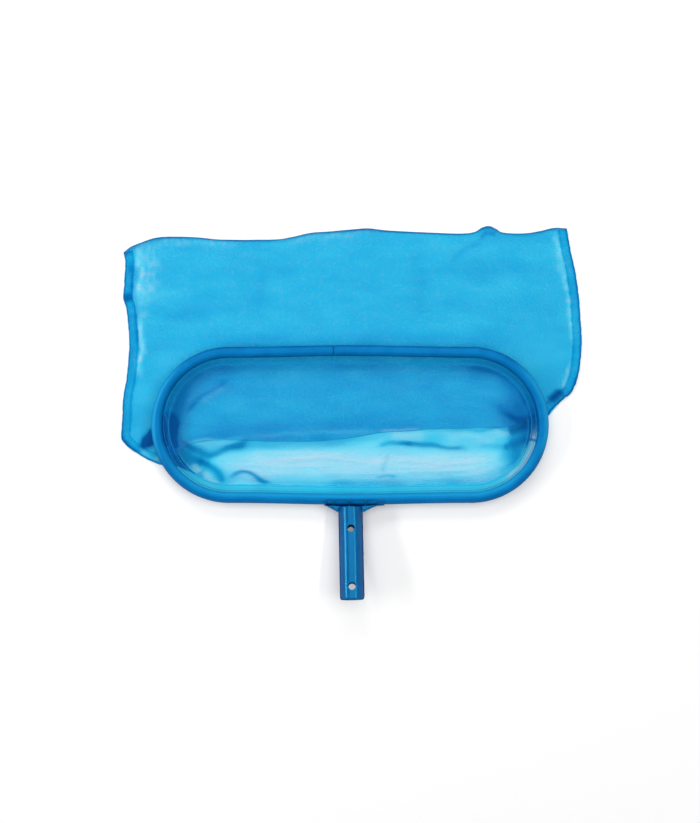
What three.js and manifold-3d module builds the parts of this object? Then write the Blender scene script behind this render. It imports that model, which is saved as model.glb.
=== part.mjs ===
// A leaf skimmer net for a pool, lying flat on its back: a hoop of round plastic tube with a handle
// socket clipped under its near run, and a fine-mesh bag held in the hoop's slot by a bead cord.
// Millimetres, +Z up. The mouth faces up, the handle points to -Y and the bag's closed end to +Y.
// Everything is laid out from the middle of the hoop on the floor, then moved to its own origin.

import * as THREE from "three";
import { mergeVertices } from "three/addons/utils/BufferGeometryUtils.js";
import Module from "manifold-3d";

const wasm = await Module();
wasm.setup();

// Fits
const CLEARANCE = 0.3; // between pieces that touch
const CUT_MARGIN = 5; // how far a cutting tool runs past what it cuts

// Hoop
const HOOP_LENGTH = 465; // over the tube, left to right
const HOOP_WIDTH = 186.5; // over the tube, at the middle of the runs
const HOOP_BOW = 2; // how far each long run bows outward
const TUBE_DIAMETER = 12.7;
const TUBE_WALL = 1.85;
const SLOT_HEIGHT = 2.4; // slot in the tube's inner side, for the hem
const JOINT_OFFSET = -19; // where the tube's ends meet on the far run, from its middle
const JOINT_GAP = 0.5;
const JOINER_LENGTH = 60;
const CORD_PLAY = 0.7; // between the bead cord and the tube's bore

// Hem
const HEM_WIDTH = 9.4; // what shows inside the tube
const HEM_THICKNESS = 1.8;
const HEM_SPLIT = 1;

// Bag
const NET_THICKNESS = 1.1; // room that one loose layer takes
const POCKET_GAP = 4.8; // between the two layers
const NET_LIP = 0.6; // how far the net's edge rises past the middle of the hem
const BAG_PAST_LEFT = 32.5; // bag's left edge beyond the hoop
const BAG_PAST_RIGHT = 35.5;
const BAG_PAST_TOP = 133.5; // closed end beyond the hoop's far run
const SEAM_WIDTH = 11;

// Saddle
const SADDLE_LEFT = 30; // how far it reaches along the hoop from its middle
const SADDLE_RIGHT = 40;
const SADDLE_WALL = 2.4;
const SADDLE_LIP_TOP = 92; // degrees round the tube, from straight outward
const SADDLE_LIP_BELOW = 110;
const RIB_PLACES = [-19.5, -1, 18]; // ribs between the saddle's pockets
const RIB_WIDTH = 1.8;
const END_WALL_LEFT = 2.4;
const END_WALL_RIGHT = 8;
const POCKET_START = 0.7; // pocket's edges, outward from the tube's axis
const POCKET_END = 7.6;
const POCKET_FLOOR = 1; // above the tube's axis

// Gusset between saddle and handle
const GUSSET_REACH = 8.5; // outward from the tube's outer side, at the handle
const GUSSET_THICKNESS = 11;
const GUSSET_TOP = 4.5; // above the tube's axis
const GUSSET_RIB_WIDTH = 2.2;
const GUSSET_RIB_RISE = 2.5;

// Handle
const HANDLE_DIAMETER = 28.5;
const HANDLE_WALL = 2.8;
const HANDLE_LENGTH = 107.5;
const HANDLE_END_WALL = 3; // closed end, inside the saddle
const HANDLE_TILT = 10; // degrees up from the hoop's plane
const HANDLE_LEAN = 1.2; // degrees to the right
const HANDLE_OFFSET = 0.5; // to the right of the hoop's middle
const HANDLE_ROOT_RISE = 0.5; // its lowest point above the floor
const HANDLE_CHAMFER = 2;
const HOLE_DIAMETER = 8.5;
const HOLE_FROM_END = 15;
const HOLE_SPACING = 66.5;

// Screws under the saddle
const SCREW_PLACES = { saddle_screw_left: -20, saddle_screw_right: 24 };
const SCREW_DIAMETER = 2.8;
const SCREW_HEAD_DIAMETER = 6;
const SCREW_HEAD_FLAT = 4.2; // across the flat of its pan head
const SCREW_HEAD_HEIGHT = 1.8;

// Smoothness
const HOOP_STEPS = 80;
const JOINER_STEPS = 8;
const SADDLE_STEPS = 4;
const EDGE_STEPS = 24;
const TUBE_SIDES = 16;
const BORE_SIDES = 10;
const ROD_SIDES = 10;
const HANDLE_SIDES = 32;
const HOLE_SIDES = 20;

// Worked out
const TUBE_RADIUS = TUBE_DIAMETER / 2;
const BORE_RADIUS = TUBE_RADIUS - TUBE_WALL;
const POUCH_HEIGHT = 2 * NET_THICKNESS + POCKET_GAP;
const HOOP_LEVEL = POUCH_HEIGHT + CLEARANCE + TUBE_RADIUS;
const END_RADIUS = HOOP_WIDTH / 2 - HOOP_BOW - TUBE_RADIUS; // centreline of the hoop's round ends
const HALF_RUN = HOOP_LENGTH / 2 - TUBE_RADIUS - END_RADIUS;
const HALF_TURN = Math.PI * END_RADIUS;
const HOOP_LOOP = 4 * HALF_RUN + 2 * HALF_TURN;
const LEFT_ARC = HALF_RUN + JOINT_OFFSET; // where each stretch starts, along the hoop from the joint
const NEAR_RUN = LEFT_ARC + HALF_TURN;
const RIGHT_ARC = NEAR_RUN + 2 * HALF_RUN;
const LAST_RUN = RIGHT_ARC + HALF_TURN;
const NEAR_MIDDLE = NEAR_RUN + HALF_RUN;
const HEM_OUTER = BORE_RADIUS; // distances inward from the tube's axis
const HEM_INNER = TUBE_RADIUS + HEM_WIDTH;
const NET_OUTER = HEM_INNER + CLEARANCE;
const NET_INNER = NET_OUTER + NET_THICKNESS;
const SADDLE_INNER = TUBE_RADIUS + CLEARANCE;
const SADDLE_OUTER = SADDLE_INNER + SADDLE_WALL;
const HANDLE_RADIUS = HANDLE_DIAMETER / 2;

// The bag crosses under the hoop at these angles of the round ends, from straight out.
const LEFT_CROSSING = THREE.MathUtils.degToRad(30);
const RIGHT_CROSSING = THREE.MathUtils.degToRad(8);
const NET_BACK_START = LEFT_ARC + HALF_TURN / 2 + LEFT_CROSSING * END_RADIUS;
const NET_BACK_END = RIGHT_ARC + HALF_TURN / 2 + RIGHT_CROSSING * END_RADIUS;

// The bag's edges as it lies, clockwise from the left crossing.
const LEFT = -(HOOP_LENGTH / 2 + BAG_PAST_LEFT);
const RIGHT = HOOP_LENGTH / 2 + BAG_PAST_RIGHT;
const TOP = HOOP_WIDTH / 2 + BAG_PAST_TOP;
const LEFT_EDGE = [
  [LEFT + 68, -32],
  [LEFT + 58, -42],
  [LEFT + 45, -46.5],
  [LEFT + 30, -42.5],
  [LEFT + 12, -32],
  [LEFT - 3, -14],
  [LEFT - 2, 20],
  [LEFT + 5, 95],
  [LEFT - 1.5, TOP - 80],
  [LEFT + 0.5, TOP - 47],
  [LEFT - 1, TOP - 31],
  [LEFT + 4, TOP - 18.5],
];
const TOP_EDGE = [
  [LEFT + 4, TOP - 18.5],
  [LEFT + 20, TOP - 12.5],
  [LEFT + 55, TOP - 5.5],
  [LEFT + 110, TOP - 8.5],
  [LEFT + 175, TOP - 9],
  [LEFT + 218, TOP - 1],
  [LEFT + 285, TOP + 4],
  [RIGHT - 175, TOP - 1],
  [RIGHT - 130, TOP - 2],
  [RIGHT - 103, TOP + 6],
  [RIGHT - 82, TOP - 2],
  [RIGHT - 60, TOP - 2],
  [RIGHT - 32, TOP + 4],
  [RIGHT - 13, TOP + 3],
];
const RIGHT_EDGE = [
  [RIGHT - 13, TOP + 3],
  [RIGHT - 11, TOP - 10],
  [RIGHT - 8.5, TOP - 25],
  [RIGHT - 1, TOP - 54],
  [RIGHT + 5, 102],
  [RIGHT + 2, 67],
  [RIGHT - 8, 38],
  [RIGHT - 36, 13],
  [RIGHT - 57, 5],
];

// Bow of the long runs at a place along them.
function bowAt(x) {
  return HOOP_BOW * Math.cos((Math.PI * x) / (2 * HALF_RUN)) ** 2;
}

// Point of the tube's axis and the direction inward, a distance along the hoop from its joint.
function hoopAt(distance) {
  const s = THREE.MathUtils.euclideanModulo(distance, HOOP_LOOP);
  if (s < LEFT_ARC || s >= LAST_RUN) {
    const x = JOINT_OFFSET - (s < LEFT_ARC ? s : s - HOOP_LOOP);
    return { x, y: END_RADIUS + bowAt(x), inX: 0, inY: -1 };
  }
  if (s >= NEAR_RUN && s < RIGHT_ARC) {
    const x = s - NEAR_MIDDLE;
    return { x, y: -END_RADIUS - bowAt(x), inX: 0, inY: 1 };
  }
  const left = s < NEAR_RUN;
  const angle = left
    ? Math.PI / 2 + (s - LEFT_ARC) / END_RADIUS
    : -Math.PI / 2 + (s - RIGHT_ARC) / END_RADIUS;
  const middle = left ? -HALF_RUN : HALF_RUN;
  return {
    x: middle + END_RADIUS * Math.cos(angle),
    y: END_RADIUS * Math.sin(angle),
    inX: -Math.cos(angle),
    inY: -Math.sin(angle),
  };
}

// A stretch of the hoop, or of a line inside it, at one level.
class HoopCurve extends THREE.Curve {
  constructor(from, to, level, inset = 0) {
    super();
    this.from = from;
    this.to = to;
    this.level = level;
    this.inset = inset;
  }
  getPoint(t, target = new THREE.Vector3()) {
    const at = hoopAt(this.from + (this.to - this.from) * t);
    return target.set(at.x + at.inX * this.inset, at.y + at.inY * this.inset, this.level);
  }
}

// A line that runs beside a flat curve, to its right.
class BesideCurve extends THREE.Curve {
  constructor(curve, distance, level) {
    super();
    this.curve = curve;
    this.distance = distance;
    this.level = level;
  }
  getPoint(t, target = new THREE.Vector3()) {
    const p = this.curve.getPoint(t);
    const along = this.curve.getTangent(t);
    return target.set(p.x + along.y * this.distance, p.y - along.x * this.distance, this.level);
  }
}

function points(pairs) {
  return pairs.map(([x, y]) => new THREE.Vector2(x, y));
}

// A closed mesh as a solid that can be cut and joined.
function solid(geometry) {
  geometry.deleteAttribute("normal");
  geometry.deleteAttribute("uv");
  const merged = mergeVertices(geometry, 1e-4);
  return new wasm.Manifold(
    new wasm.Mesh({
      numProp: 3,
      vertProperties: new Float32Array(merged.attributes.position.array),
      triVerts: new Uint32Array(merged.index.array),
    }),
  );
}

// A section swept along a level curve; its points are to the left of the way along, and up.
function sweep(section, curve, steps) {
  const shape = new THREE.Shape(points(section.map(([left, up]) => [-up, left])));
  return solid(
    new THREE.ExtrudeGeometry(shape, { steps, bevelEnabled: false, extrudePath: curve }),
  );
}

// A flat outline raised from one level to another.
function slab(outline, low, high) {
  const shape = new THREE.Shape(points(outline.map((p) => [p.x, p.y])));
  const geometry = new THREE.ExtrudeGeometry(shape, { depth: high - low, bevelEnabled: false });
  return solid(geometry.translate(0, 0, low));
}

// Points round an arc; in a section, degrees run from the left of the way along towards the top.
function arc(radius, from, to, sides) {
  const round = [];
  for (let i = 0; i <= sides; i++) {
    const angle = THREE.MathUtils.degToRad(from + ((to - from) * i) / sides);
    round.push([radius * Math.cos(angle), radius * Math.sin(angle)]);
  }
  return round;
}

function circle(radius, sides) {
  return arc(radius, 0, 360 - 360 / sides, sides - 1);
}

function rectangle(left, right, low, high) {
  return [
    [left, low],
    [right, low],
    [right, high],
    [left, high],
  ];
}

function mesh(name, made, color, roughness) {
  const { vertProperties, triVerts } = made.getMesh();
  const geometry = new THREE.BufferGeometry();
  geometry.setAttribute("position", new THREE.BufferAttribute(vertProperties, 3));
  geometry.setIndex(new THREE.BufferAttribute(triVerts, 1));
  geometry.computeVertexNormals();
  const material = new THREE.MeshStandardMaterial({ color, roughness, metalness: 0 });
  const result = new THREE.Mesh(geometry, material);
  result.name = name;
  return result;
}

const TUBE_BLUE = 0x0a6aa8;
const NET_BLUE = 0x4fb4e0;
const HEM_BLUE = 0x0c7ab8;
const STEEL = 0xb8bcc0;

// Tube

// The tube's axis at a place along the near run.
function axisLine(x) {
  return hoopAt(NEAR_MIDDLE + x).y;
}

function screwHole(x) {
  const hole = new THREE.CylinderGeometry(
    SCREW_DIAMETER / 2 + CLEARANCE,
    SCREW_DIAMETER / 2 + CLEARANCE,
    SADDLE_OUTER + CUT_MARGIN,
    HOLE_SIDES,
  );
  hole.rotateX(Math.PI / 2);
  hole.translate(x, axisLine(x), HOOP_LEVEL - (SADDLE_OUTER + CUT_MARGIN) / 2);
  return solid(hole);
}

function hoopRim() {
  const outerSlot = THREE.MathUtils.radToDeg(Math.asin(SLOT_HEIGHT / 2 / TUBE_RADIUS));
  const innerSlot = THREE.MathUtils.radToDeg(Math.asin(SLOT_HEIGHT / 2 / BORE_RADIUS));
  const section = [
    ...arc(TUBE_RADIUS, outerSlot, 360 - outerSlot, TUBE_SIDES),
    ...arc(BORE_RADIUS, 360 - innerSlot, innerSlot, BORE_SIDES),
  ];
  const along = new HoopCurve(JOINT_GAP / 2, HOOP_LOOP - JOINT_GAP / 2, HOOP_LEVEL);
  let rim = sweep(section, along, HOOP_STEPS);
  for (const x of Object.values(SCREW_PLACES)) rim = rim.subtract(screwHole(x));
  return rim;
}

function rimJoiner() {
  const along = new HoopCurve(-JOINER_LENGTH / 2, JOINER_LENGTH / 2, HOOP_LEVEL);
  return sweep(circle(BORE_RADIUS - CLEARANCE, ROD_SIDES), along, JOINER_STEPS);
}

function hemCord() {
  const start = JOINER_LENGTH / 2 + CLEARANCE;
  const along = new HoopCurve(start, HOOP_LOOP - start, HOOP_LEVEL);
  return sweep(circle(BORE_RADIUS - CORD_PLAY, ROD_SIDES), along, HOOP_STEPS);
}

function mouthHem() {
  const half = HEM_THICKNESS / 2;
  const along = new HoopCurve(HEM_SPLIT / 2, HOOP_LOOP - HEM_SPLIT / 2, HOOP_LEVEL);
  return sweep(rectangle(HEM_OUTER, HEM_INNER, -half, half), along, HOOP_STEPS);
}

// Bag

const leftEdge = new THREE.SplineCurve(points(LEFT_EDGE));
const topEdge = new THREE.SplineCurve(points(TOP_EDGE));
const rightEdge = new THREE.SplineCurve(points(RIGHT_EDGE));

// The lying bag's whole outline as a slab, a little short of the closed end if asked.
function bagSlab(low, high, shortOfEnd = 0) {
  const top = new BesideCurve(topEdge, shortOfEnd, 0).getPoints(2 * EDGE_STEPS).slice(1, -1);
  const left = leftEdge.getPoints(EDGE_STEPS);
  const right = rightEdge.getPoints(EDGE_STEPS);
  if (shortOfEnd > 0) {
    left[EDGE_STEPS].y -= shortOfEnd;
    right[0].y -= shortOfEnd;
  }
  return slab([...left, ...top, ...right], low, high);
}

// What lies between the two side edges, a distance in from them, at any height.
function betweenSides(distance) {
  const left = new BesideCurve(leftEdge, distance, 0).getPoints(EDGE_STEPS);
  const right = new BesideCurve(rightEdge, distance, 0).getPoints(EDGE_STEPS);
  const above = TOP + BAG_PAST_TOP;
  const corners = [
    { x: left[EDGE_STEPS].x, y: above },
    { x: right[0].x, y: above },
  ];
  return slab([...left, ...corners, ...right], -CUT_MARGIN, POUCH_HEIGHT + CUT_MARGIN);
}

function mouthOutline(inset) {
  return new HoopCurve(0, HOOP_LOOP, 0, inset).getPoints(HOOP_STEPS).slice(0, -1);
}

// The net's turned-up edge, beside the hem.
function netEdge(from, to, low) {
  const section = rectangle(NET_OUTER, NET_INNER, low, HOOP_LEVEL + NET_LIP);
  return sweep(section, new HoopCurve(from, to, 0), HOOP_STEPS);
}

const betweenSeams = betweenSides(SEAM_WIDTH + 2 * CLEARANCE);

// The lower layer turns up along the closed end, where the real sheet is folded.
function netBackLayer() {
  const inside = bagSlab(NET_THICKNESS, POUCH_HEIGHT + CUT_MARGIN, NET_THICKNESS);
  return bagSlab(0, POUCH_HEIGHT)
    .subtract(inside)
    .intersect(betweenSeams)
    .add(slab(mouthOutline(NET_OUTER), 0, NET_THICKNESS))
    .add(netEdge(NET_BACK_START, NET_BACK_END, 0));
}

function netFrontLayer() {
  const low = NET_THICKNESS + POCKET_GAP;
  const start = NET_BACK_END + CLEARANCE;
  const end = HOOP_LOOP + NET_BACK_START - CLEARANCE;
  return bagSlab(low, POUCH_HEIGHT, NET_THICKNESS + 2 * CLEARANCE)
    .intersect(betweenSeams)
    .subtract(slab(mouthOutline(NET_INNER), low - CUT_MARGIN, POUCH_HEIGHT + CUT_MARGIN))
    .add(netEdge(start, end, low));
}

// The sewn bands along both sides, in one go: the left one and the right one.
function sideSeams() {
  const mouth = slab(mouthOutline(NET_OUTER - CLEARANCE), -CUT_MARGIN, POUCH_HEIGHT + CUT_MARGIN);
  return bagSlab(0, POUCH_HEIGHT)
    .subtract(betweenSides(SEAM_WIDTH))
    .subtract(mouth)
    .decompose()
    .sort((a, b) => a.boundingBox().min[0] - b.boundingBox().min[0]);
}

// Handle socket: saddle, gusset and hollow handle in one moulding

const HANDLE_ROOT = new THREE.Vector3(
  HANDLE_OFFSET,
  axisLine(0) - SADDLE_OUTER - CLEARANCE,
  HANDLE_ROOT_RISE + HANDLE_RADIUS * Math.cos(THREE.MathUtils.degToRad(HANDLE_TILT)),
);

// Stands a piece made along Y, with its root at zero, onto the handle's line.
function ontoHandle(geometry) {
  geometry.rotateX(Math.PI - THREE.MathUtils.degToRad(HANDLE_TILT));
  geometry.rotateZ(THREE.MathUtils.degToRad(HANDLE_LEAN));
  return solid(geometry.translate(...HANDLE_ROOT));
}

function handleTube() {
  const outer = HANDLE_RADIUS;
  const bore = HANDLE_RADIUS - HANDLE_WALL;
  const soft = HANDLE_CHAMFER * (1 - Math.SQRT1_2);
  const profile = [
    [0, 0],
    [outer, 0],
    [outer, HANDLE_LENGTH - HANDLE_CHAMFER],
    [outer - soft, HANDLE_LENGTH - soft],
    [outer - HANDLE_CHAMFER / 2, HANDLE_LENGTH],
    [bore, HANDLE_LENGTH],
    [bore, HANDLE_END_WALL],
    [0, HANDLE_END_WALL],
  ];
  return ontoHandle(new THREE.LatheGeometry(points(profile), HANDLE_SIDES));
}

function crossHole(fromRoot) {
  const radius = HOLE_DIAMETER / 2;
  const hole = new THREE.CylinderGeometry(radius, radius, 2 * HANDLE_DIAMETER, HOLE_SIDES);
  return ontoHandle(hole.rotateX(Math.PI / 2).translate(0, fromRoot, 0));
}

function saddleBody() {
  const section = [
    ...arc(SADDLE_OUTER, 180 - SADDLE_LIP_TOP, 180 + SADDLE_LIP_BELOW, TUBE_SIDES),
    ...arc(SADDLE_INNER, 180 + SADDLE_LIP_BELOW, 180 - SADDLE_LIP_TOP, TUBE_SIDES),
  ];
  const from = NEAR_MIDDLE - SADDLE_LEFT;
  const to = NEAR_MIDDLE + SADDLE_RIGHT;
  return sweep(section, new HoopCurve(from, to, HOOP_LEVEL), SADDLE_STEPS);
}

function saddlePockets() {
  const walls = [
    -SADDLE_LEFT + END_WALL_LEFT - RIB_WIDTH / 2,
    ...RIB_PLACES,
    SADDLE_RIGHT - END_WALL_RIGHT + RIB_WIDTH / 2,
  ];
  const top = SADDLE_OUTER + CUT_MARGIN;
  return walls.slice(1).map((wall, i) =>
    sweep(
      rectangle(-POCKET_END, -POCKET_START, POCKET_FLOOR, top),
      new HoopCurve(
        NEAR_MIDDLE + walls[i] + RIB_WIDTH / 2,
        NEAR_MIDDLE + wall - RIB_WIDTH / 2,
        HOOP_LEVEL,
      ),
      2,
    ),
  );
}

function gusset() {
  const inner = axisLine(0) - SADDLE_INNER;
  const outer = axisLine(0) - TUBE_RADIUS - GUSSET_REACH;
  const shoulder = axisLine(0) - SADDLE_OUTER;
  const low = HOOP_LEVEL + GUSSET_TOP - GUSSET_THICKNESS;
  const high = HOOP_LEVEL + GUSSET_TOP;
  const left = HANDLE_OFFSET - HANDLE_RADIUS;
  const right = HANDLE_OFFSET + HANDLE_RADIUS;
  const plate = [
    { x: -SADDLE_LEFT, y: inner },
    { x: -SADDLE_LEFT, y: shoulder },
    { x: left, y: outer },
    { x: right, y: outer },
    { x: SADDLE_RIGHT, y: shoulder },
    { x: SADDLE_RIGHT, y: inner },
  ];
  const edges = [
    [plate[1], plate[2]],
    [plate[3], plate[4]],
  ];
  const ribs = edges.map(([a, b]) => [
    a,
    b,
    { x: b.x, y: b.y + GUSSET_RIB_WIDTH },
    { x: a.x, y: a.y + GUSSET_RIB_WIDTH },
  ]);
  return ribs.reduce(
    (joined, rib) => joined.add(slab(rib, low, high + GUSSET_RIB_RISE)),
    slab(plate, low, high),
  );
}

function handleBore() {
  const radius = HANDLE_RADIUS - HANDLE_WALL;
  const bore = new THREE.CylinderGeometry(radius, radius, HANDLE_LENGTH, HANDLE_SIDES);
  return ontoHandle(bore.translate(0, HANDLE_LENGTH / 2 + HANDLE_END_WALL, 0));
}

function handleSocket() {
  const room = new HoopCurve(
    NEAR_MIDDLE - SADDLE_LEFT - CUT_MARGIN,
    NEAR_MIDDLE + SADDLE_RIGHT + CUT_MARGIN,
    HOOP_LEVEL,
  );
  const upperHole = HANDLE_LENGTH - HOLE_FROM_END - HOLE_SPACING;
  let socket = saddleBody()
    .add(gusset())
    .add(handleTube())
    .subtract(handleBore())
    .subtract(sweep(circle(SADDLE_INNER, HOLE_SIDES), room, SADDLE_STEPS))
    .subtract(crossHole(upperHole))
    .subtract(crossHole(upperHole + HOLE_SPACING));
  for (const pocket of saddlePockets()) socket = socket.subtract(pocket);
  for (const x of Object.values(SCREW_PLACES)) socket = socket.subtract(screwHole(x));
  return socket;
}

function saddleScrew(x) {
  const tip = TUBE_RADIUS - TUBE_WALL + CLEARANCE;
  const seat = SADDLE_OUTER + CLEARANCE;
  const half = SCREW_DIAMETER / 2;
  const head = SCREW_HEAD_DIAMETER / 2;
  const profile = [
    [0, -seat - SCREW_HEAD_HEIGHT],
    [SCREW_HEAD_FLAT / 2, -seat - SCREW_HEAD_HEIGHT],
    [head, -seat - SCREW_HEAD_HEIGHT / 2],
    [head, -seat],
    [half, -seat],
    [half, -tip - half],
    [0, -tip],
  ];
  const screw = new THREE.LatheGeometry(points(profile), HOLE_SIDES);
  return solid(screw.rotateX(Math.PI / 2).translate(x, axisLine(x), HOOP_LEVEL));
}

const net = new THREE.Group();
net.add(mesh("hoop_rim", hoopRim(), TUBE_BLUE, 0.3));
net.add(mesh("rim_joiner", rimJoiner(), TUBE_BLUE, 0.5));
net.add(mesh("hem_cord", hemCord(), HEM_BLUE, 0.8));
net.add(mesh("mouth_hem", mouthHem(), HEM_BLUE, 0.7));
net.add(mesh("net_back_layer", netBackLayer(), NET_BLUE, 0.8));
net.add(mesh("net_front_layer", netFrontLayer(), NET_BLUE, 0.8));
const [leftSeam, rightSeam] = sideSeams();
net.add(mesh("side_seam_left", leftSeam, HEM_BLUE, 0.8));
net.add(mesh("side_seam_right", rightSeam, HEM_BLUE, 0.8));
net.add(mesh("handle_socket", handleSocket(), TUBE_BLUE, 0.3));
for (const [name, x] of Object.entries(SCREW_PLACES)) {
  net.add(mesh(name, saddleScrew(x), STEEL, 0.35));
}

// The origin is the middle of the whole net's footprint, on the floor.
const box = new THREE.Box3().setFromObject(net);
net.position.set(-(box.min.x + box.max.x) / 2, -(box.min.y + box.max.y) / 2, -box.min.z);

export default net;
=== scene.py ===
"""A leaf skimmer net for a pool, lying flat with its mouth up, seen from straight above.

Metres, +Z up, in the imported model's frame: the handle points to -Y and the bag's closed end to +Y.
Places that were read off the photograph are given as its pixels and turned into metres by on_photo.
"""

import math

import bmesh
import bpy
import numpy as np
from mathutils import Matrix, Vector

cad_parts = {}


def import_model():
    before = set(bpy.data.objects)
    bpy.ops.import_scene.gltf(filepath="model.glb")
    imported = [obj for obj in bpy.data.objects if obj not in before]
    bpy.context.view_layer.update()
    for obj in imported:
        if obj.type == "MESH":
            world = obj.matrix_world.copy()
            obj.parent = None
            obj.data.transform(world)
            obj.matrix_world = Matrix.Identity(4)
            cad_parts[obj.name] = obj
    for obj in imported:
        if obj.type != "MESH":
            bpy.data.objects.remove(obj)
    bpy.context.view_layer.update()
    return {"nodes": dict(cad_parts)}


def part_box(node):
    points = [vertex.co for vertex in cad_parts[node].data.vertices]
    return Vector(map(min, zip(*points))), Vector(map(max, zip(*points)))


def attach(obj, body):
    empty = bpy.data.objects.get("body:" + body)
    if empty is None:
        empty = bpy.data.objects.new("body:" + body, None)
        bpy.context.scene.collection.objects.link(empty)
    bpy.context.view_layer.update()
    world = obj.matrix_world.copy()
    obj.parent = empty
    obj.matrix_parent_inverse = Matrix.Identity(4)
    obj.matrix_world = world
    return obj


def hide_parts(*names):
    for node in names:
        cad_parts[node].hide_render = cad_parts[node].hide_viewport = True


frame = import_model()
MM = 0.001

# Photograph
PHOTO_HEIGHT = 823  # pixels
PHOTO_MIDDLE = (350, 411.5)
PHOTO_SCALE = 1.18 * MM  # metres to a pixel, at the hoop's level
HOOP_ON_PHOTO = (350, 424.8)  # the hoop's middle
PICTURE_SCALE = 1.17 * MM  # the camera's; the photograph's soft edges spread a little outward
CAMERA_DISTANCE = 1.75
SENSOR = 36  # mm

# Hoop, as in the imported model
HOOP_LENGTH = 465 * MM
HOOP_WIDTH = 186.5 * MM
HOOP_BOW = 2 * MM
TUBE_RADIUS = 6.35 * MM
TUBE_WALL = 1.85 * MM
SLOT_HEIGHT = 2.4 * MM
SLOT_BEVEL = 0.25 * MM
JOINT_OFFSET = -19 * MM
JOINT_GAP = 0.5 * MM
JOINER_LENGTH = 60 * MM
CORD_PLAY = 0.7 * MM  # round the bead cord
CORD_END_PLAY = 0.3 * MM
HEM_WIDTH = 9.4 * MM
HEM_THICKNESS = 1.6 * MM
HEM_SPLIT = 1.0 * MM
HEM_BORDER = 1.9 * MM  # from the hem's two edges to its stitched borders
HEM_PROFILE = (  # millimetres inward from the tube, and the share of half the thickness
    (-1.85, 0.7), (0, 0.75), (0.8, 0.9), (1.9, 1.0), (3.0, 0.92), (4.7, 0.9), (6.4, 0.92),
    (7.5, 1.02), (8.6, 0.85), (9.4, 0.5),
)
LEFT_CROSSING = math.radians(30)  # where the side seams pass under the hoop's round ends
RIGHT_CROSSING = math.radians(8)
RIM_STEPS, HEM_STEPS, CORD_STEPS, SEAM_STEPS = 420, 700, 320, 260
OUTER_POINTS, BORE_POINTS, CORD_POINTS = 44, 22, 20  # round them
PALE_INSIDE, PALE_OUTSIDE = 0.75, 0.65  # how much painted light pales the tube there

# Stitches
STITCH_PITCH = 3.4 * MM
STITCH_LENGTH = 2.6 * MM
STITCH_LEVEL = 0.66 * HEM_THICKNESS  # above and below the hem's middle
THREAD_RADIUS = 0.28 * MM
THREAD_SIDES = 6
STITCH_SHAPE = ((-0.5, 0.25), (-0.38, 0.8), (0.0, 1.0), (0.38, 0.8), (0.5, 0.25))  # place, swell

# Bag
NET_UNDER_HEM = 6 * MM  # how far the net's edge reaches under the hem
NET_BELOW_HEM = 0.35 * MM
SEAM_WIDTH = 10.5 * MM
SEAM_THICKNESS = 1.5 * MM
SEAM_LEVEL = 1.75 * MM
SEAM_PROFILE = (  # millimetres from its outer edge, and the share of half the thickness
    (-0.4, 0), (0, 0.9), (0.9, 1.3), (1.9, 1.15), (2.8, 0.75), (5.25, 0.85), (7.7, 0.75),
    (8.6, 1.1), (9.6, 1.2), (10.5, 0.5),
)
SEAM_LENGTH = 0.27
NET_FLAT = (0.55, 0.64)  # the sheet before it was folded and sewn
HEM_PUCKERS = (0.021, 0.034, 0.0075)  # lengths of the waves along it
HEM_WAVE, HEM_SWELL = 0.22 * MM, 0.12 * MM  # their heights aside and up
SEAM_PUCKERS = (0.0085, 0.017, 0.043)
SEAM_WAVE, SEAM_SWELL = 0.18 * MM, 0.25 * MM
HEM_SEED, SEAM_SEEDS = 3, {"left": 16, "right": 17}
HEM_GATHER, SEAM_GATHER = 0.27, 0.15

# Socket
VOXEL = 0.55 * MM
RIM_ROUNDING = 1.4 * MM
RIM_REACH = 2.6 * MM  # from the handle's end to where its rim is full
WING_TAPER = (15 * MM, 34 * MM)  # aside, from where to where the saddle's ends taper
WING_LOSS = 0.7
POCKETS_MIDDLE = 5 * MM  # along the hoop
POCKETS_HALF = 34 * MM
POCKETS_OUTWARD = (0.4 * MM, 7.9 * MM)  # from the tube's axis
POCKETS_FLOOR = 0.6 * MM  # above the tube's axis
POCKETS_SHADE = (3.5 * MM, 5.5 * MM)  # painted shade below the first of these heights, none above the last

# Screws
SCREW_HEAD = 1.8 * MM  # its height
SCREW_RADIUS = 1.4 * MM
SCREW_CORE = 0.8  # its thread's inner radius, as a share of the outer one
SCREW_RIDGE = 0.35 * MM  # half the thread's pitch
SCREW_THREAD_END = 1.6 * MM  # below its tip
SCREW_POINT = 1.2 * MM
SCREW_SIDES = 40
SCREW_DOME = (20, 40, 60, 75, 88)  # degrees round its head's edge

# Worked out
HOOP_LOW, HOOP_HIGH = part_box("hoop_rim")
HOOP_X = (HOOP_LOW[0] + HOOP_HIGH[0]) / 2
HOOP_Y = (HOOP_LOW[1] + HOOP_HIGH[1]) / 2
HOOP_LEVEL = (HOOP_LOW[2] + HOOP_HIGH[2]) / 2
END_RADIUS = HOOP_WIDTH / 2 - HOOP_BOW - TUBE_RADIUS
HALF_RUN = HOOP_LENGTH / 2 - TUBE_RADIUS - END_RADIUS
HALF_TURN = math.pi * END_RADIUS
HOOP_LOOP = 4 * HALF_RUN + 2 * HALF_TURN
LEFT_ARC = HALF_RUN + JOINT_OFFSET  # where each stretch starts, along the hoop from its joint
NEAR_RUN = LEFT_ARC + HALF_TURN
RIGHT_ARC = NEAR_RUN + 2 * HALF_RUN
LAST_RUN = RIGHT_ARC + HALF_TURN
SEAM_LEFT_AT = LEFT_ARC + HALF_TURN / 2 + LEFT_CROSSING * END_RADIUS
SEAM_RIGHT_AT = RIGHT_ARC + HALF_TURN / 2 + RIGHT_CROSSING * END_RADIUS
BORE_RADIUS = TUBE_RADIUS - TUBE_WALL
HEM_INSET = TUBE_RADIUS + HEM_WIDTH  # the hem's inner edge, inward from the tube's axis
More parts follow.
